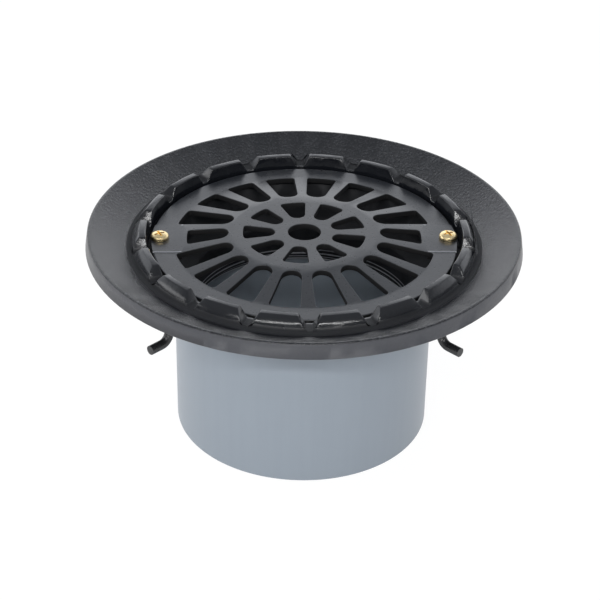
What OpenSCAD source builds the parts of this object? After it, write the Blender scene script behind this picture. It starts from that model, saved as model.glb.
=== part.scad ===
// Flat roof drain. A cast-iron body has a dished flange, a castellated weep
// crown, a bowl and a spigot. A slotted strainer is screwed down inside the
// crown, a plastic outlet pipe is pushed over the spigot, and four bent bars
// under the flange anchor the body in the screed.
// Z runs up the axis of the outlet, and Z = 0 is the cut end of the pipe.

/* [Overall] */
// Height from the cut end of the pipe to the top of the rim
overall_h = 95; // [85:1:160]
// Diameter at the lower edge of the rim
flange_d = 190; // [186:1:220]

/* [Flange] */
// Height of the outer face of the rim
rim_h = 7.1; // [6:0.1:8]
// Fall of the upper face from the rim to the foot of the crown
dish_fall = 8; // [7:0.1:8.5]

/* [Crown] */
// Number of petals, and of the weep notches between them
petal_count = 18; // [12:2:20]
// Width of a notch at the top of the petals
notch_top_w = 9.4; // [6:0.1:11]
// Width of a notch at its floor
notch_floor_w = 2.8; // [2:0.1:4]

/* [Strainer] */
// Diameter of the strainer
strainer_d = 133; // [132:0.1:135]
// Thickness of the slotted plate
plate_t = 2.6; // [2:0.1:2.8]
// Number of slots in the outer ring
outer_slots = 18; // [12:2:20]
// Number of slots in the inner ring
inner_slots = 9; // [6:1:10]
// Share of the outer ring that its slots take up
outer_share = 0.68; // [0.4:0.01:0.72]
// Share of the inner ring that its slots take up
inner_share = 0.63; // [0.4:0.01:0.7]
// Diameter of the hole in the middle
centre_hole_d = 14.4; // [6:0.2:18]

/* [Screws] */
// Diameter of the thread
thread_d = 4; // [3:0.1:4.2]
// Diameter of the pan head
head_d = 8; // [7:0.1:8.6]
// Height of the pan head
head_h = 2.4; // [2:0.1:3]

/* [Outlet pipe] */
// Outside diameter of the pipe
pipe_od = 114; // [112:0.5:116]
// Wall of the pipe
pipe_wall = 3.1; // [2.8:0.1:3.6]

/* [Anchor legs] */
// Diameter of the round bar
leg_d = 4; // [3:0.5:5]
// Reach of a leg's cut end from the axis
leg_reach = 90; // [87:0.5:94]
// Angle of the first leg from the line through the screws
leg_angle = 44; // [35:1:55]

/* [Hidden] */
$fn = 120;
clear = 1;                    // how far a cutter runs past the face that it opens
arc_step = 18;                // largest turn between two points of a rounded corner

iron_black = "#1d2022";
iron_grey = "#3a3c3f";
brass = "#c9a45a";
pipe_grey = "#96a3ac";
bar_black = "#1a1c1e";

// Levels
rim_z = overall_h;
crown_z = rim_z - 1.25;
crown_shoulder_z = rim_z - 3.3;
plate_z = rim_z - 3;
pad_z = rim_z - 6;
ledge_z = rim_z - 10;
root_z = rim_z - 15.5;        // underside of the flange at the bowl
shelf_z = rim_z - 22.5;       // outer edge of the sloping shelf in the bowl
throat_z = rim_z - 27;        // where the shelf meets the bore
shoulder_z = rim_z - 29;
spigot_z = rim_z - 46.5;

// Body
rim_r = flange_d / 2;
rim_draft = 1;
rim_top_w = 1.3;
rim_round = 0.9;
rim_chamfer = 0.4;
rim_foot_w = 2.5;
root_r = 76;
crown_foot_r = 76.2;
crown_shoulder_r = 74;
crest_out_r = 71.8;
crest_in_r = 68.9;
crown_in_r = 68.2;
ledge_r = 60.6;
bowl_r = 59.8;
shelf_r = 57.5;
bore_r = 49;
bore_step = [1.2, 1.6];       // width and height of the two steps in the mouth
bowl_out_r = 66;
bowl_foot_r = 61.4;
pipe_gap = 0.2;
spigot_r = pipe_od / 2 - pipe_wall - pipe_gap;

// Notches
notch_in_r = 67.3;
notch_out_r = crown_foot_r + 0.5;
notch_in_z = rim_z - 6.3;
notch_out_z = rim_z - 6.7;

// Strainer
strainer_r = strainer_d / 2;
flat_r = 31.5;
cone_r = 58;
ring_z = rim_z - 6.5;         // the level ring round the slots
foot_w = 5.5;
edge_round = 0.5;
outer_slot = [33, 57];        // reach of an outer slot from the axis
blocked_end = 51.2;           // where a slot in line with a screw ends
inner_slot = [12.8, 26.8];
slot_corner = 1.4;
pad_w = 23.5;
pad_in_r = 53;                // under the conical face, which the pad comes out of

// Screws and the lugs that take them
screw_r = 63;
shank_l = 14;
tap_depth = 11.5;
lug_r = 6;
lug_l = 10;
thread_gap = 0.05;
screw_hole_gap = 0.3;
recess_l = 4.6;
recess_w = 1;
recess_depth = 1.2;
recess_turn = 25;

// Anchor legs
leg_r = 79.5;
leg_root_z = rim_z - 9.5;
leg_foot_z = rim_z - 23.5;
leg_bend = 4.5;

function unit(v) = v / norm(v);

function turned(v, a) = [v[0] * cos(a) - v[1] * sin(a), v[0] * sin(a) + v[1] * cos(a)];

// The corner p between a and b, as an arc of radius r that touches both sides
function round_corner(a, p, b, r) =
    r == 0 ? [p] :
    let (u = unit(a - p), v = unit(b - p),
         half = acos(u * v) / 2,
         centre = p + unit(u + v) * r / sin(half),
         start = p + u * r / tan(half) - centre,
         sweep = (2 * half - 180) * sign(cross(u, v)),
         steps = ceil(abs(sweep) / arc_step))
    [for (i = [0 : steps]) centre + turned(start, sweep * i / steps)];

// A closed outline from corners given as [first place, second place, rounding]
function outline(corners) =
    let (n = len(corners), at = [for (c = corners) [c[0], c[1]]])
    [for (i = [0 : n - 1])
        each round_corner(at[(i + n - 1) % n], at[i], at[(i + 1) % n], corners[i][2])];

// Section of the body, up the inside, over the crown and the rim, and back
// under the flange and down the outside of the bowl
body_corners = [
    [spigot_r, spigot_z, 0],
    [bore_r + 2 * bore_step[0], spigot_z, 0],
    [bore_r + 2 * bore_step[0], spigot_z + bore_step[1], 0],
    [bore_r + bore_step[0], spigot_z + bore_step[1], 0],
    [bore_r + bore_step[0], spigot_z + 2 * bore_step[1], 0],
    [bore_r, spigot_z + 2 * bore_step[1], 0],
    [bore_r, throat_z, 1.5],
    [shelf_r, shelf_z, 3],
    [bowl_r, ledge_z - 1.2, 0],
    [ledge_r, ledge_z, 0],
    [crown_in_r, ledge_z, 0],
    [crest_in_r, crown_z, 0.6],
    [crest_out_r, crown_z, 0.8],
    [crown_shoulder_r, crown_shoulder_z, 1.2],
    [crown_foot_r, rim_z - dish_fall, 1],
    [rim_r - rim_draft - rim_top_w, rim_z, 1],
    [rim_r - rim_draft, rim_z, rim_round],
    [rim_r, rim_z - rim_h + rim_chamfer, 0],
    [rim_r - rim_chamfer, rim_z - rim_h, 0],
    [rim_r - rim_foot_w, rim_z - rim_h, 0],
    [root_r, root_z, 3],
    [bowl_out_r, root_z, 2],
    [bowl_foot_r, shoulder_z, 3],
    [spigot_r, shoulder_z, 0]
];

// Section of the strainer, whose thicker edge stands on the ledge
strainer_corners = [
    [0, plate_z - plate_t, 0],
    [flat_r, plate_z - plate_t, 0],
    [cone_r, ring_z - plate_t, 0],
    [strainer_r - foot_w, ring_z - plate_t, 0],
    [strainer_r - foot_w, ledge_z, 0],
    [strainer_r, ledge_z, 0],
    [strainer_r, ring_z, edge_round],
    [cone_r, ring_z, 0],
    [flat_r, plate_z, 0],
    [0, plate_z, 0]
];

// Section of a pan head
head_corners = [
    [0, 0, 0],
    [head_d / 2, 0, 0.2],
    [head_d / 2, head_h - 0.5, 1.4],
    [head_d / 6, head_h, 1],
    [0, head_h, 0]
];

// Weep notch along +X: straight sides, and a floor that falls outwards
module notch() {
    run = notch_out_r - notch_in_r;
    fall = notch_in_z - notch_out_z;
    floor_half = notch_floor_w / 2;
    lean = (notch_top_w / 2 - floor_half) / (crown_z - notch_out_z);
    top = crown_z - notch_in_z + fall + clear;
    translate([notch_in_r, 0, notch_in_z])
        rotate([0, atan2(fall, run), 0])
            rotate([90, 0, 90])
                linear_extrude(norm([run, fall]))
                    polygon([[-floor_half, 0], [floor_half, 0],
                             [floor_half + top * lean, top], [-floor_half - top * lean, top]]);
}

// Lug for a screw on the wall of the bowl, along +X, with a rounded toe
module lug() {
    translate([screw_r, 0, ledge_z - lug_l]) {
        cylinder(r = lug_r, h = lug_l);
        sphere(r = lug_r);
    }
}

module body() {
    color(iron_black)
        difference() {
            union() {
                rotate_extrude() polygon(outline(body_corners));
                for (a = [0, 180]) rotate(a) lug();
            }
            for (i = [0 : petal_count - 1]) rotate((i + 0.5) * 360 / petal_count) notch();
            for (a = [0, 180])
                rotate(a)
                    translate([screw_r, 0, ledge_z - tap_depth])
                        cylinder(d = thread_d, h = tap_depth + clear);
            for (i = [0 : 3])
                rotate(leg_angle + i * 90)
                    translate([leg_r, 0, leg_foot_z])
                        cylinder(d = leg_d, h = leg_root_z - leg_foot_z);
        }
}

// Outline of a slot along +X: radial sides that would meet on the axis, a
// round end towards it, and an arc with rounded corners as the outer end
function slot_outline(r_in, r_out, half) =
    outline([
        [0, 0, r_in * sin(half) / (1 - sin(half))],
        for (share = [-1, -0.5, 0, 0.5, 1])
            [r_out * cos(share * half), r_out * sin(share * half), abs(share) == 1 ? slot_corner : 0]
    ]);

// A ring of count slots, where those in line with a screw end early
module slot_ring(count, reach, share, turn = 0) {
    pitch = 360 / count;
    for (i = [0 : count - 1]) {
        a = turn + i * pitch;
        blocked = reach[1] > blocked_end && abs(sin(a)) * reach[1] < pad_w / 2;
        rotate(a)
            translate([0, 0, ledge_z - clear])
                linear_extrude(plate_z - ledge_z + 2 * clear)
                    polygon(slot_outline(reach[0], blocked ? blocked_end : reach[1],
                                         pitch * share / 2));
    }
}

// Level pad for a screw head, which comes out of the conical face
module pad() {
    intersection() {
        translate([0, 0, ledge_z]) cylinder(r = strainer_r, h = pad_z - ledge_z);
        translate([pad_in_r, -pad_w / 2, ledge_z])
            cube([strainer_r, pad_w, pad_z - ledge_z]);
    }
}

module strainer() {
    color(iron_grey)
        difference() {
            union() {
                rotate_extrude() polygon(outline(strainer_corners));
                for (a = [0, 180]) rotate(a) pad();
            }
            translate([0, 0, ledge_z]) cylinder(d = centre_hole_d, h = plate_z - ledge_z + clear);
            slot_ring(outer_slots, outer_slot, outer_share);
            slot_ring(inner_slots, inner_slot, inner_share, 180 / inner_slots);
            for (a = [0, 180])
                rotate(a)
                    translate([screw_r, 0, ledge_z - clear])
                        cylinder(d = thread_d + 2 * screw_hole_gap, h = pad_z - ledge_z + 2 * clear);
        }
}

// Pan-head screw on its pad, with a crossed recess
module screw() {
    color(brass)
        translate([screw_r, 0, pad_z])
            difference() {
                union() {
                    rotate_extrude() polygon(outline(head_corners));
                    translate([0, 0, -shank_l])
                        cylinder(d = thread_d - 2 * thread_gap, h = shank_l + head_h / 2);
                }
                for (a = [0, 90])
                    rotate(recess_turn + a)
                        translate([-recess_l / 2, -recess_w / 2, head_h - recess_depth])
                            cube([recess_l, recess_w, recess_depth + clear]);
            }
}

module outlet_pipe() {
    color(pipe_grey)
        difference() {
            cylinder(d = pipe_od, h = shoulder_z);
            translate([0, 0, -clear]) cylinder(d = pipe_od - 2 * pipe_wall, h = shoulder_z + 2 * clear);
        }
}

// Round bar let into the flange, and bent outwards to its cut end
module anchor_leg(angle) {
    bend_z = leg_foot_z + leg_bend;
    bend_r = leg_r + leg_bend;
    color(bar_black)
        rotate(angle) {
            translate([leg_r, 0, bend_z]) cylinder(d = leg_d, h = leg_root_z - bend_z);
            translate([bend_r, 0, bend_z])
                rotate([90, 0, 0])
                    rotate(180)
                        rotate_extrude(angle = 90) translate([leg_bend, 0]) circle(d = leg_d);
            translate([bend_r, 0, leg_foot_z])
                rotate([0, 90, 0]) cylinder(d = leg_d, h = leg_reach - bend_r);
        }
}

body();
strainer();
rotate(180) screw();  // screw_left
screw();  // screw_right
outlet_pipe();
anchor_leg(180 + leg_angle);  // anchor_leg_front_left
anchor_leg(270 + leg_angle);  // anchor_leg_front_right
anchor_leg(90 + leg_angle);  // anchor_leg_back_left
anchor_leg(leg_angle);  // anchor_leg_back_right
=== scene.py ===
# %% [markdown]
# # A flat roof drain
# The drain is a black cast-iron casting with a dished flange and a ring of cast petals. A dark grey
# slotted strainer is screwed down inside the ring, and a blue-grey plastic pipe hangs below. Four
# bent bars under the flange anchor it in the roof.
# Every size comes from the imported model, which is loaded first and never moved.

# %% Load the model
import math

import bmesh
import bpy
from mathutils import Matrix, Vector


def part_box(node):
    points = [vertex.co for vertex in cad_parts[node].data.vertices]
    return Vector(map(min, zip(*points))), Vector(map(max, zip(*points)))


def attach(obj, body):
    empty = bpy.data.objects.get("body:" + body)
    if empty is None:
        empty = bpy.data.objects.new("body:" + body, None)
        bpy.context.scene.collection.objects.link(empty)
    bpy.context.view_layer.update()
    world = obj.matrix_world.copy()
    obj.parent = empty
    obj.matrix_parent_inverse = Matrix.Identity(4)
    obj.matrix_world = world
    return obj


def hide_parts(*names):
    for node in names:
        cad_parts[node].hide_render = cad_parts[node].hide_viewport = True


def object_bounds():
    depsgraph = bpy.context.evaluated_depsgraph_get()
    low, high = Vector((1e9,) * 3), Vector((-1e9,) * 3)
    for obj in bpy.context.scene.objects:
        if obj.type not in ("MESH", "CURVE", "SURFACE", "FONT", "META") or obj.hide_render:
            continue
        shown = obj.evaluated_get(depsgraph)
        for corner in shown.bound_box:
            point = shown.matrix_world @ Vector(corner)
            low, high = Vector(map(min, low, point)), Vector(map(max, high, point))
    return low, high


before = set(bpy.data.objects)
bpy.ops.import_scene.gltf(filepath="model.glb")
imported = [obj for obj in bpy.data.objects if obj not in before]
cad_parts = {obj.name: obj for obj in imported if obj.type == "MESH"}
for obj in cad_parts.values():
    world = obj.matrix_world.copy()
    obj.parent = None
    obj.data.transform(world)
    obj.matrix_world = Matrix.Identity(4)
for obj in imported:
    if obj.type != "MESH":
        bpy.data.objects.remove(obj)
cad_box = [list(corner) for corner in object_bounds()]
MM = 0.001
TOP = cad_box[1][2]
RIM_R = (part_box("body")[1].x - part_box("body")[0].x) / 2
print("nodes:", sorted(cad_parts))
print("height %.1f mm, flange radius %.1f mm" % (TOP / MM, RIM_R / MM))

# %% [markdown]
# ## Camera
# A long lens from about four flange widths away keeps the round shapes nearly true ellipses. The
# camera stands at the front, about 29 degrees above the horizon, and is turned by one degree about
# its own axis, as a hand-held camera is.

# %% Make the camera
CAMERA_AZIMUTH = math.radians(-2.2)
CAMERA_ELEVATION = 0.5098
CAMERA_DISTANCE = 0.752
CAMERA_ROLL = 0.0172
LENS = 103.7
AIM_SIDE = -1.4 * MM
AIM_DROP = 37.9 * MM

back = Vector((
    math.sin(CAMERA_AZIMUTH) * math.cos(CAMERA_ELEVATION),
    -math.cos(CAMERA_AZIMUTH) * math.cos(CAMERA_ELEVATION),
    math.sin(CAMERA_ELEVATION),
))
aim = Vector((AIM_SIDE, 0, TOP - AIM_DROP))
camera_data = bpy.data.cameras.new("camera")
camera_data.lens = LENS
camera = bpy.data.objects.new("camera", camera_data)
bpy.context.scene.collection.objects.link(camera)
camera.location = Vector((0, 0, TOP)) + CAMERA_DISTANCE * back
turn = (aim - camera.location).to_track_quat("-Z", "Y").to_matrix()
camera.rotation_euler = (turn @ Matrix.Rotation(CAMERA_ROLL, 3, "Z")).to_euler()
bpy.context.scene.camera = camera
print("camera at", [round(x, 3) for x in camera.location])

# %% [markdown]
# ## Shader maths
# A shader is a graph of nodes, and a formula is easier to read than a graph. This small class
# wraps one socket, so that sums and products of sockets can be written as Python expressions.
# A field that runs from 0 to 1 is called a mask here, and it says where a finish applies.

# %% Wrap a socket
class Field:
    """A value that changes over a surface. Sums and products of fields add Math nodes."""

    def __init__(self, tree, socket=None):
        self.tree = tree
        self.socket = socket

    def node(self, kind, inputs=None, out=0, **settings):
        """Any node: its settings are set first, then the values or links of its sockets."""
        made = self.tree.nodes.new(kind)
        for name, value in settings.items():
            setattr(made, name, value)
        for key, value in (inputs or {}).items():
            if isinstance(value, Field):
                self.tree.links.new(value.socket, made.inputs[key])
            else:
                made.inputs[key].default_value = value
        return Field(self.tree, None if out is None else made.outputs[out])

    def maths(self, operation, *values):
        return self.node("ShaderNodeMath", dict(enumerate(values)), operation=operation)

    def __add__(self, other):
        return self.maths("ADD", self, other)

    def __sub__(self, other):
        return self.maths("SUBTRACT", self, other)

    def __rsub__(self, other):
        return self.maths("SUBTRACT", other, self)

    def __mul__(self, other):
        return self.maths("MULTIPLY", self, other)

    def __pow__(self, other):
        return self.maths("POWER", self, other)

    __radd__ = __add__
    __rmul__ = __mul__

    def part(self, axis):
        """One part of a vector: 0, 1 or 2 for x, y or z."""
        return self.node("ShaderNodeSeparateXYZ", {0: self}, out=axis)

    def ease(self, low, high, start=0.0, end=1.0):
        """Runs smoothly from start to end while this field goes from low to high."""
        inputs = {"Value": self, "From Min": low, "From Max": high, "To Min": start, "To Max": end}
        return self.node("ShaderNodeMapRange", inputs, interpolation_type="SMOOTHSTEP")

    def fade(self, low, high):
        """A mask that is 1 below low and 0 above high."""
        return self.ease(low, high, 1.0, 0.0)

    def choose(self, off, on):
        """A number that is off where this mask is 0, and on where it is 1."""
        return self.ease(0, 1, off, on)


# %% Places and directions on a surface
def surface_point(tree):
    """The point on the surface, in metres from the model's origin."""
    return Field(tree).node("ShaderNodeTexCoord", out="Object")


def from_axis(point):
    """How far a point is from the drain's axis."""
    x, y = point.part(0), point.part(1)
    return (x * x + y * y) ** 0.5


def upward(tree):
    """How far a face looks up: 1 for level ground, 0 for a wall, -1 for a ceiling."""
    return Field(tree).node("ShaderNodeTexCoord", out="Normal").part(2)


# %% Patterns, colours and finishes
def noise(point, size, detail=3.0, roughness=0.55):
    """Cloudy noise whose largest grains are about size metres across, from 0 to 1."""
    inputs = {"Vector": point, "Scale": 1 / size, "Detail": detail, "Roughness": roughness}
    return point.node("ShaderNodeTexNoise", inputs, out="Fac", noise_dimensions="3D")


def mixed(share, first, second):
    """The first colour where share is 0, and the second where it is 1."""
    first, second = (c if isinstance(c, Field) else (*c, 1) for c in (first, second))
    return share.node("ShaderNodeMix", {0: share, 6: first, 7: second}, out=2, data_type="RGBA")


def bumps(height, depth):
    """A normal that is tilted by height, which is depth metres deep from 0 to 1."""
    return height.node("ShaderNodeBump", {"Height": height, "Distance": depth, "Strength": 1.0})


def empty_material(name):
    material = bpy.data.materials.new(name)
    material.use_nodes = True
    material.node_tree.nodes.clear()
    return material


def finish_material(material, **sockets):
    """Joins colour, roughness, normal and plain values to one Principled shader."""
    tree = material.node_tree
    shader = tree.nodes.new("ShaderNodeBsdfPrincipled")
    for name, value in sockets.items():
        socket = shader.inputs[name.replace("_", " ")]
        if isinstance(value, Field):
            tree.links.new(value.socket, socket)
        else:
            socket.default_value = value
    out = tree.nodes.new("ShaderNodeOutputMaterial")
    tree.links.new(shader.outputs[0], out.inputs["Surface"])
    print("mixed the finish:", material.name)
    return material


def coat(mesh, material):
    """Gives a mesh one finish, in place of any that it has."""
    mesh.materials.clear()
    mesh.materials.append(material)


print("shader helpers ready")

# %% [markdown]
# ## Floor
# The drain stands on the end of its pipe, on a white floor. A wide plane does for it. To the
# camera, and in what gloss and glass show, most of its light is its own, so it looks plain white
# and keeps a faint shadow; for all other rays it is white paper. Inside the pipe it doesn't glow,
# so that the drain stays dark when one looks down through the slots. From below it is clear, so
# that the underside can be looked at too.

# %% Make the floor
FLOOR_HALF_WIDTH = 3.0
FLOOR_GAP = 0.05 * MM
PAPER_WHITE = (0.86, 0.86, 0.86, 1)
GLOW_SHARE = 0.86
GLOW_STRENGTH = 1.07
PIPE_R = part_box("outlet_pipe")[1].x
PIPE_EDGE = 2 * MM


def ray_is(ray, *kinds):
    """1 for rays of any of these kinds, 0 for all others."""
    found = [ray.node("ShaderNodeLightPath", out=kind) for kind in kinds]
    either = found[0]
    for other in found[1:]:
        either = either.maths("MAXIMUM", either, other)
    return either


def white_floor():
    material = empty_material("white floor")
    ray = Field(material.node_tree)
    radius = from_axis(surface_point(material.node_tree))
    seen = ray_is(ray, "Is Camera Ray", "Is Glossy Ray", "Is Transmission Ray")
    seen = seen * radius.ease(PIPE_R - PIPE_EDGE, PIPE_R)
    paper = ray.node("ShaderNodeBsdfDiffuse", {"Color": PAPER_WHITE})
    glow = ray.node("ShaderNodeEmission", {"Color": (1, 1, 1, 1), "Strength": GLOW_STRENGTH})
    front = ray.node("ShaderNodeMixShader", {0: seen * GLOW_SHARE, 1: paper, 2: glow})
    clear = ray.node("ShaderNodeBsdfTransparent")
    below = ray.node("ShaderNodeNewGeometry", out="Backfacing")
    surface = ray.node("ShaderNodeMixShader", {0: below, 1: front, 2: clear})
    ray.node("ShaderNodeOutputMaterial", {"Surface": surface}, out=None)
    return material


bpy.ops.object.select_all(action="DESELECT")
bpy.ops.mesh.primitive_plane_add(size=2 * FLOOR_HALF_WIDTH, location=(0, 0, 0))
floor = bpy.context.object
floor.name = "floor"
floor.location.z = cad_box[0][2] - FLOOR_GAP
floor.data.materials.append(white_floor())
print("floor at", round(floor.location.z / MM, 2), "mm")

# %% [markdown]
# ## Daylight
# Black gloss shows little of its own colour: what is seen on it is the room. The room is bright
# behind the drain and dim in front, under a dim ceiling, so that faces turned upwards stay dark
# and the grain of the dish is seen against the light. It could be built from walls and cards, but
# a world shader that depends only on the direction of a ray does the same with nothing in the way.
# The camera itself sees plain white. What gloss and glass show is white too, up to just above the
# horizon, and above that it is the room.

# %% Fill the room with daylight
DAYLIGHT = (0.94, 0.97, 1.03, 1)
FRONT_TO_BACK = -0.2, 0.5
WALL_TO_CEILING = 0.48, 0.70
WHITE_HORIZON = 0.05, 0.15


def make_world(sweep, ceiling, room):
    """Strengths of the light from behind the drain, from above and from the front."""
    world = bpy.data.worlds.new("studio")
    bpy.context.scene.world = world
    world.use_nodes = True
    world.node_tree.nodes.clear()
    ray = Field(world.node_tree)
    way = ray.node("ShaderNodeTexCoord", out="Generated")
    depth, height = way.part(1), way.part(2)
    walls = depth.ease(*FRONT_TO_BACK, room, sweep)
    light = walls + height.ease(*WALL_TO_CEILING) * (ceiling - walls)
    day = ray.node("ShaderNodeBackground", {"Color": DAYLIGHT, "Strength": light})
    white = ray.node("ShaderNodeBackground", {"Color": (1, 1, 1, 1), "Strength": 1.0})
    mirrored = ray_is(ray, "Is Glossy Ray", "Is Transmission Ray") * height.fade(*WHITE_HORIZON)
    seen = mirrored.maths("MAXIMUM", mirrored, ray_is(ray, "Is Camera Ray"))
    surface = ray.node("ShaderNodeMixShader", {0: seen, 1: day, 2: white})
    ray.node("ShaderNodeOutputWorld", {"Surface": surface}, out=None)
    return world


print("made the world:", make_world(sweep=1.4, ceiling=0.5, room=0.4).name)

# %% [markdown]
# ## Lamps
# Large soft boxes stand low behind the drain, on its left and in front of it, and the right is left
# without one, so that the round shapes are lighter on one side. The key strip hangs higher at the
# front. It is long and thin, as its image on the rounded shoulders of the petals has to be a thin
# bright line. Each lamp is placed by the angles at which the drain sees it: an azimuth of 0 is the
# front, -90 the left and 180 the back.

# %% Place the lamps
def soft_box(name, azimuth, elevation, distance, size, radiance):
    """A lamp that faces the middle of the drain, seen from there at these angles."""
    data = bpy.data.lights.new(name, "AREA")
    data.shape = "RECTANGLE"
    data.size, data.size_y = size
    data.energy = radiance * math.pi * size[0] * size[1]
    lamp = bpy.data.objects.new(name, data)
    bpy.context.scene.collection.objects.link(lamp)
    a, e = math.radians(azimuth), math.radians(elevation)
    way = Vector((math.sin(a) * math.cos(e), -math.cos(a) * math.cos(e), math.sin(e)))
    lamp.location = Vector((0, 0, TOP)) + distance * way
    lamp.rotation_euler = way.to_track_quat("Z", "Y").to_euler()
    lamp.visible_camera = False
    print(name, "gives", round(data.energy, 1), "W")


soft_box("back box", azimuth=180, elevation=14, distance=2.0, size=(3.0, 0.6), radiance=0.6)
soft_box("middle back box", azimuth=180, elevation=14, distance=2.0, size=(1.0, 0.5), radiance=1.8)
soft_box("left box", azimuth=-90, elevation=14, distance=2.0, size=(1.2, 0.8), radiance=2.2)
soft_box("front box", azimuth=-12, elevation=3, distance=2.0, size=(1.0, 0.36), radiance=6.0)
soft_box("key strip", azimuth=-4, elevation=37, distance=1.6, size=(2.0, 0.06), radiance=36.0)
bpy.context.scene.view_settings.view_transform = "Standard"

# %% [markdown]
# ## Black cast iron
# The casting is sprayed black. Its dished face keeps the grain of the sand mould, which the thick
# paint rounds off, and the higher grains get a lighter colour: painted glints, in place of the
# highlights that the grain catches. The petals are smoother and glossier.
# The rim is greyer and a little dull. The bowl and the feet of the petals, where the spray hardly
# reaches, are dull. The mouth of the bore is turned on a lathe, which leaves bright fine grooves.
# All that could be five materials on five sets of faces, but one material with masks needs no
# seams: each mask is worked out from the distance to the axis or the height, and steps between 0
# and 1, up or down, from the first to the second place in its pair.

# %% Places on the body
DISH = 77 * MM, 78 * MM
RIM = RIM_R - 1.3 * MM, RIM_R - 0.8 * MM
BOWL = 68.6 * MM, 68.9 * MM
BOWL_TOP = TOP - 9 * MM, TOP - 8 * MM
OUTER_WALL = 73.4 * MM, 74.2 * MM
INNER_WALL = 69 * MM, 70 * MM
PETAL_FEET = TOP - 6.2 * MM, TOP - 4.6 * MM
BORE = 55 * MM, 56 * MM
GROOVES_START = TOP - 47 * MM, TOP - 46.5 * MM
GROOVES_END = TOP - 40 * MM, TOP - 39.5 * MM
GROOVE_PITCH = 2.1 * MM
GROOVE_EDGE = 0.2, 0.7
print("the dish starts %.0f mm from the axis" % (DISH[1] / MM))

# %% Paint for the body
# The second colour is the greyer rim, and also the painted glints on the higher grains.
BLACK_PAINT, GREY_RIM_AND_GLINTS = (0.0075, 0.0085, 0.011), (0.052, 0.054, 0.062)
BARE_IRON = (0.60, 0.61, 0.63)
GRAIN_SIZE, WAVE_SIZE = 1.2 * MM, 6 * MM
GRAIN_DEPTH = 0.36 * MM
PETAL_GRAIN, RIM_GRAIN = 0.15, 0.35
PETAL_WAVES, DISH_WAVES = 0.15, 0.05
GLOSSY, RIM_ROUGH = 0.11, 0.34
BOWL_DULLER, OUTER_DULLER, FEET_DULLER, GRAIN_DULLER = 0.5, 0.02, 0.6, 0.08
GLINT_EDGE = 0.42, 0.62
GLINT_LEVEL = 0.65
PETAL_GLINTS, DISH_GLINTS, RIM_GLINTS = 0.1, 0.9, 0.1


def turned_grooves(radius, z):
    """A mask of the grooves that are turned into the mouth of the bore."""
    wave = z * (math.tau / GROOVE_PITCH)
    wave = wave.maths("SINE", wave)
    return wave.ease(*GROOVE_EDGE) * radius.fade(*BORE) * z.ease(*GROOVES_START) * z.fade(*GROOVES_END)


def body_paint():
    material = empty_material("black iron paint")
    point = surface_point(material.node_tree)
    radius, z = from_axis(point), point.part(2)
    on_dish, on_rim = radius.ease(*DISH), radius.ease(*RIM)
    in_bowl = radius.fade(*BOWL) * z.fade(*BOWL_TOP)
    outer_wall = radius.ease(*OUTER_WALL) * (1 - on_dish)
    petal_feet = z.fade(*PETAL_FEET) * radius.ease(*INNER_WALL) * (1 - on_dish)
    grain = noise(point, GRAIN_SIZE, detail=5.0, roughness=0.65)
    waves = noise(point, WAVE_SIZE, detail=2.0)
    grain_share = on_dish.choose(PETAL_GRAIN, 1.0) * on_rim.choose(1.0, RIM_GRAIN)
    relief = grain * grain_share + waves * on_dish.choose(PETAL_WAVES, DISH_WAVES)
    rough = on_rim.choose(GLOSSY, RIM_ROUGH) + grain * GRAIN_DULLER
    rough = rough + in_bowl * BOWL_DULLER + outer_wall * OUTER_DULLER + petal_feet * FEET_DULLER
    # Painted glints: the higher grains are made lighter, in place of the highlights that they catch.
    painted_glints = grain.ease(*GLINT_EDGE) - GLINT_LEVEL
    painted_glints = painted_glints * on_dish.choose(PETAL_GLINTS, DISH_GLINTS) * on_rim.choose(1.0, RIM_GLINTS)
    grooves = turned_grooves(radius, z)
    return finish_material(
        material,
        Metallic=grooves,
        Base_Color=mixed(grooves, mixed(on_rim + painted_glints, BLACK_PAINT, GREY_RIM_AND_GLINTS), BARE_IRON),
        Roughness=rough,
        Normal=bumps(relief, GRAIN_DEPTH),
    )


# %% [markdown]
# ## Strainer paint
# The strainer is a separate casting with a thinner, greyer and more even coat. The walls of its
# slots get a painted shade, nearly black, and they are dull: how far a face looks up tells them
# from the top. The pads under the two screws are bright along their edges, which is a narrow band
# of light metal colour at a fixed distance from the line through the screws.

# %% Paint for the strainer
PAD_HALF, PAD_LEVEL = 11.75 * MM, -6.0 * MM
PAD_SLOPE = 0.32 * MM
PAD_INNER = 54 * MM, 55 * MM
PAD_FOOT = TOP - 6.7 * MM, TOP - 6.6 * MM
PAD_BAND_EDGE = 0.05 * MM
FACES_UP = 0.2, 0.7
DARK_COAT, LIGHT_COAT = (0.018, 0.020, 0.024), (0.025, 0.028, 0.033)
# The near-black colour is painted shade for the walls of the slots.
PAINTED_SLOT_SHADE, PAD_BAND_METAL = (0.003, 0.003, 0.0035), (0.75, 0.76, 0.78)
COAT_GRAIN, COAT_WAVES = 1.1 * MM, 12 * MM
WALL_ROUGH, TOP_ROUGH = 0.60, 0.24
COAT_DEPTH = 0.05 * MM
GRAIN_ROUGH, WAVE_SHARE = 0.10, 1.5


# The pads' long edges get a narrow band of light metal colour, set by its place alone.
def pad_band_mask(point, radius):
    """A mask of the bright line along the long sides of the two pads."""
    across = point.part(1)
    across = across.maths("ABSOLUTE", across)
    line = across.ease(PAD_HALF - PAD_SLOPE, PAD_HALF - PAD_SLOPE + PAD_BAND_EDGE)
    line = line * across.fade(PAD_HALF, PAD_HALF + PAD_BAND_EDGE)
    return line * radius.ease(*PAD_INNER) * point.part(2).ease(*PAD_FOOT)


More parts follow.
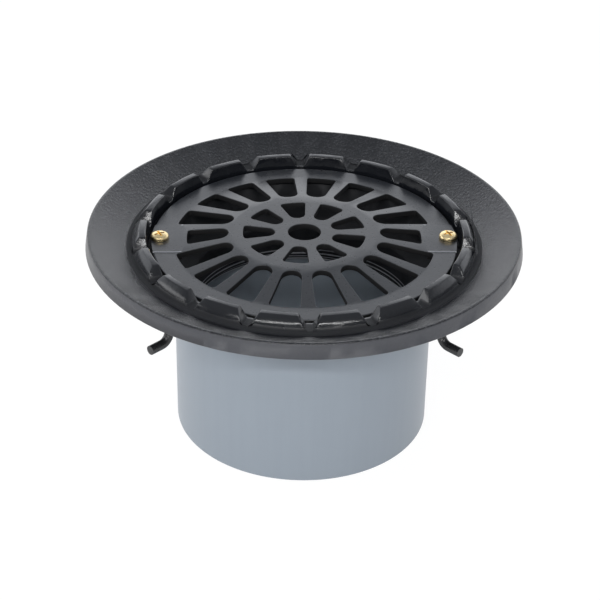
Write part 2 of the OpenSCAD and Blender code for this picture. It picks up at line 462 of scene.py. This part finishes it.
def strainer_paint():
    material = empty_material("grey iron paint")
    point = surface_point(material.node_tree)
    up = upward(material.node_tree).ease(*FACES_UP)
    pad_band = pad_band_mask(point, from_axis(point))
    grain = noise(point, COAT_GRAIN, detail=4.0)
    waves = noise(point, COAT_WAVES, detail=2.0)
    # Faces that don't look up, the walls of the slots, get the near-black painted shade.
    painted = mixed(up, PAINTED_SLOT_SHADE, mixed(waves, DARK_COAT, LIGHT_COAT))
    return finish_material(
        material,
        Base_Color=mixed(pad_band, painted, PAD_BAND_METAL),
        Metallic=pad_band,
        Roughness=grain * GRAIN_ROUGH + up.choose(WALL_ROUGH, TOP_ROUGH),
        Normal=bumps(grain + waves * WAVE_SHARE, COAT_DEPTH),
    )


# %% [markdown]
# ## Pipe, screws and legs
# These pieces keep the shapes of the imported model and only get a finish. The pipe is pulled out of
# a die, which leaves faint streaks along it: the same noise as elsewhere, stretched along the
# pipe. The screws are turned brass, a little hazy. The legs are bars dipped in black paint, which
# dries in soft lumps.

# %% Plastic for the pipe
PIPE_DARK, PIPE_LIGHT = (0.256, 0.293, 0.334), (0.276, 0.314, 0.355)
ALONG_PIPE = (1.0, 1.0, 0.06)
STREAK_SIZE, STREAK_DEPTH = 3 * MM, 0.02 * MM
PIPE_ROUGH, STREAK_ROUGH = 0.34, 0.06


def pipe_plastic():
    material = empty_material("blue-grey plastic")
    point = surface_point(material.node_tree)
    drawn = point.node("ShaderNodeMapping", {"Vector": point, "Scale": ALONG_PIPE})
    streaks = noise(drawn, STREAK_SIZE)
    return finish_material(
        material,
        Base_Color=mixed(streaks, PIPE_DARK, PIPE_LIGHT),
        Roughness=streaks * STREAK_ROUGH + PIPE_ROUGH,
        Normal=bumps(streaks, STREAK_DEPTH),
    )


coat(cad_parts["outlet_pipe"].data, pipe_plastic())

# %% Brass for the screws
BRASS_DARK, BRASS_LIGHT = (0.72, 0.55, 0.27), (0.88, 0.72, 0.42)
HAZE_SIZE = 1.5 * MM
BRASS_ROUGH, HAZE_ROUGH = 0.2, 0.15


def brass():
    material = empty_material("turned brass")
    haze = noise(surface_point(material.node_tree), HAZE_SIZE)
    return finish_material(
        material,
        Metallic=1.0,
        Base_Color=mixed(haze, BRASS_DARK, BRASS_LIGHT),
        Roughness=haze * HAZE_ROUGH + BRASS_ROUGH,
    )


screw_brass = brass()
for name in ("screw_left", "screw_right"):
    coat(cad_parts[name].data, screw_brass)

# %% Paint for the legs
BAR_DARK, BAR_LIGHT = (0.010, 0.010, 0.011), (0.020, 0.021, 0.023)
LUMP_SIZE, LUMP_DEPTH = 3 * MM, 0.15 * MM
BAR_ROUGH, LUMP_ROUGH = 0.2, 0.15


def leg_paint():
    material = empty_material("black bar paint")
    lumps = noise(surface_point(material.node_tree), LUMP_SIZE)
    return finish_material(
        material,
        Base_Color=mixed(lumps, BAR_DARK, BAR_LIGHT),
        Roughness=lumps * LUMP_ROUGH + BAR_ROUGH,
        Normal=bumps(lumps, LUMP_DEPTH),
    )


bar_paint = leg_paint()
for name in sorted(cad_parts):
    if name.startswith("anchor_leg"):
        coat(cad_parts[name].data, bar_paint)
        print("painted", name)

# %% [markdown]
# ## Castings with rounded edges
# Sand casting and thick paint leave no sharp edge: each petal and each slot has a small round
# along it, and that round is what draws the thin light lines on black gloss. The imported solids
# have sharp edges there. Modelling both castings again would only risk their sizes, so each is
# copied from its solid, its loose triangles are merged, flat ones are joined into single faces,
# and the Bevel modifier rounds the edges picked by place, by its width times their weight.

# %% Copy a solid and merge its faces
MERGE_DISTANCE = 0.02 * MM
FLAT_ANGLE = math.radians(1)


def merged_copy(node, name):
    """A copy of a node's solid, in edit mode, with its flat triangles joined."""
    bpy.ops.object.select_all(action="DESELECT")
    piece = bpy.data.objects.new(name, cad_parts[node].data.copy())
    bpy.context.scene.collection.objects.link(piece)
    piece.select_set(True)
    bpy.context.view_layer.objects.active = piece
    bpy.ops.object.mode_set(mode="EDIT")
    bpy.ops.mesh.select_all(action="SELECT")
    bpy.ops.mesh.remove_doubles(threshold=MERGE_DISTANCE)
    bpy.ops.mesh.dissolve_limited(angle_limit=FLAT_ANGLE)
    return piece


def pick_vertices(piece, wanted):
    """Selects the vertices for which wanted(place, radius, height under the top) is true."""
    bpy.ops.mesh.select_mode(type="VERT")
    shape = bmesh.from_edit_mesh(piece.data)
    for vertex in shape.verts:
        place = vertex.co
        vertex.select = wanted(place, math.hypot(place.x, place.y), place.z - TOP)
    shape.select_flush_mode()
    picked = sum(vertex.select for vertex in shape.verts)
    bmesh.update_edit_mesh(piece.data)
    return picked


# %% Round the edges of a copy
SHARP_ANGLE = math.radians(30)
SMOOTH_ANGLE = math.radians(35)
ROUND_SEGMENTS = 3


def is_sharp(edge):
    return edge.calc_face_angle() > SHARP_ANGLE


def weigh_edges(piece, weigh):
    """Stores the weight that weigh gives each edge, by its middle, radius and height."""
    shape = bmesh.new()
    shape.from_mesh(piece.data)
    weight = shape.edges.layers.float.new("bevel_weight_edge")
    for edge in shape.edges:
        middle = (edge.verts[0].co + edge.verts[1].co) / 2
        edge[weight] = weigh(edge, middle, math.hypot(middle.x, middle.y), middle.z - TOP)
    rounded = sum(edge[weight] > 0 for edge in shape.edges)
    shape.to_mesh(piece.data)
    shape.free()
    return rounded


def round_edges(piece, width, flat_faces):
    """Rounds the weighted edges, and keeps large faces flat in shading where that is asked."""
    rounding = piece.modifiers.new("rounding", "BEVEL")
    rounding.limit_method = "WEIGHT"
    rounding.width = width
    rounding.segments = ROUND_SEGMENTS
    rounding.use_clamp_overlap = False
    bpy.ops.object.modifier_apply(modifier=rounding.name)
    bpy.ops.object.shade_smooth_by_angle(angle=SMOOTH_ANGLE)
    if flat_faces:
        weighted = piece.modifiers.new("flat faces", "WEIGHTED_NORMAL")
        weighted.keep_sharp = True
        bpy.ops.object.modifier_apply(modifier=weighted.name)


def rounded_copy(node, name, shape_by, weigh, width, flat_faces):
    """A copy of a node's solid that shape_by shapes in edit mode, with rounded edges."""
    piece = merged_copy(node, name)
    shape_by(piece)
    bpy.ops.object.mode_set(mode="OBJECT")
    rounded = weigh_edges(piece, weigh)
    round_edges(piece, width, flat_faces)
    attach(piece, "root")
    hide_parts(node)
    print(name, "has", rounded, "rounded edges and", len(piece.data.polygons), "faces")
    return piece


# %% [markdown]
# ## Casting
# The petals have small rounds all over, and a larger one along the outer shoulder, which catches
# the key strip. The solid has a small arc there, and a bevel can't enlarge an arc, so the arc is
# first merged into one edge. At the foot of the crown the solid has a small fillet, which the real
# casting fills further: its vertices are moved away from the corner that it fills.

# %% Merge the shoulder of the petals
SHOULDER_R, SHOULDER_Z = 74.0 * MM, -3.3 * MM
SHOULDER_SPAN = 0.4 * MM


def at_shoulder(place, radius, height):
    return abs(radius - SHOULDER_R) < SHOULDER_SPAN and abs(height - SHOULDER_Z) < SHOULDER_SPAN


def merge_shoulder(piece):
    """Joins the small arc at the shoulder into one edge, which then takes a larger round."""
    print("shoulder vertices:", pick_vertices(piece, at_shoulder))
    bpy.ops.mesh.remove_doubles(threshold=2 * SHOULDER_SPAN)


# %% Enlarge the fillet at the foot of the crown
FOOT_R, FOOT_Z = 76.2 * MM, -8 * MM
FOOT_INWARD, FOOT_OUTWARD = -0.7 * MM, 1.1 * MM
FOOT_BELOW, FOOT_ABOVE = -0.1 * MM, 1.1 * MM
FOOT_GROWTH = 2.2


def grow_foot(piece):
    """Scales the small fillet at the foot of the crown about the corner that it fills."""
    shape = bmesh.from_edit_mesh(piece.data)
    moved = 0
    for vertex in shape.verts:
        radius = math.hypot(vertex.co.x, vertex.co.y)
        out, up = radius - FOOT_R, vertex.co.z - TOP - FOOT_Z
        if FOOT_INWARD < out < FOOT_OUTWARD and FOOT_BELOW < up < FOOT_ABOVE:
            stretch = (FOOT_R + out * FOOT_GROWTH) / radius
            vertex.co.x *= stretch
            vertex.co.y *= stretch
            vertex.co.z = TOP + FOOT_Z + up * FOOT_GROWTH
            moved += 1
    bmesh.update_edit_mesh(piece.data)
    print("foot vertices:", moved)


# %% Make the casting
SHOULDER_ROUND, PETAL_ROUND = 1.1 * MM, 0.42 * MM
SHORT_EDGE = 1 * MM
CROWN_INNER, CROWN_OUTER, CROWN_LOW = 67 * MM, 77.5 * MM, -7.6 * MM


def shape_crown(piece):
    merge_shoulder(piece)
    grow_foot(piece)


def weigh_petals(edge, middle, radius, height):
    """A full round along the shoulder, a small one on the crown's other sharp edges."""
    if at_shoulder(middle, radius, height) and edge.calc_length() > SHORT_EDGE:
        return 1.0
    on_crown = CROWN_INNER < radius < CROWN_OUTER and height > CROWN_LOW
    return PETAL_ROUND / SHOULDER_ROUND if on_crown and is_sharp(edge) else 0.0


casting = rounded_copy("body", "casting", shape_crown, weigh_petals, SHOULDER_ROUND, flat_faces=False)
coat(casting.data, body_paint())

# %% [markdown]
# ## Grating
# The strainer has a small round along the edges of its slots. Its two pads under the screws
# keep crisp edges, but their long sides lean a little, as a pattern has to be drawn out of the
# sand. The strainer's top is nearly flat, so the Weighted Normal modifier keeps its shading flat
# up to the rounds.

# %% Lean the sides of the pads
PICK_SPAN = 0.05 * MM


def slope_pads(piece):
    """Moves the upper long edges of the pads inwards, so that their sides lean."""
    for side in (-1, 1):
        def on_edge(place, radius, height):
            across = abs(place.y - side * PAD_HALF)
            return across < PICK_SPAN and abs(height - PAD_LEVEL) < PICK_SPAN

        print("pad edge vertices:", pick_vertices(piece, on_edge))
        bpy.ops.transform.translate(value=(0, -side * PAD_SLOPE, 0))


# %% Make the grating
SLOT_ROUND = 0.3 * MM
PAD_START = 52 * MM
PAD_MARGIN = 0.5 * MM
UNDERSIDE = -9.8 * MM


def weigh_slots(edge, middle, radius, height):
    """A round on every sharp edge, apart from those of the pads and of the underside."""
    on_pad = radius > PAD_START and abs(middle.y) < PAD_HALF + PAD_MARGIN
    return 1.0 if is_sharp(edge) and height >= UNDERSIDE and not on_pad else 0.0


grating = rounded_copy("strainer", "grating", slope_pads, weigh_slots, SLOT_ROUND, flat_faces=True)
coat(grating.data, strainer_paint())
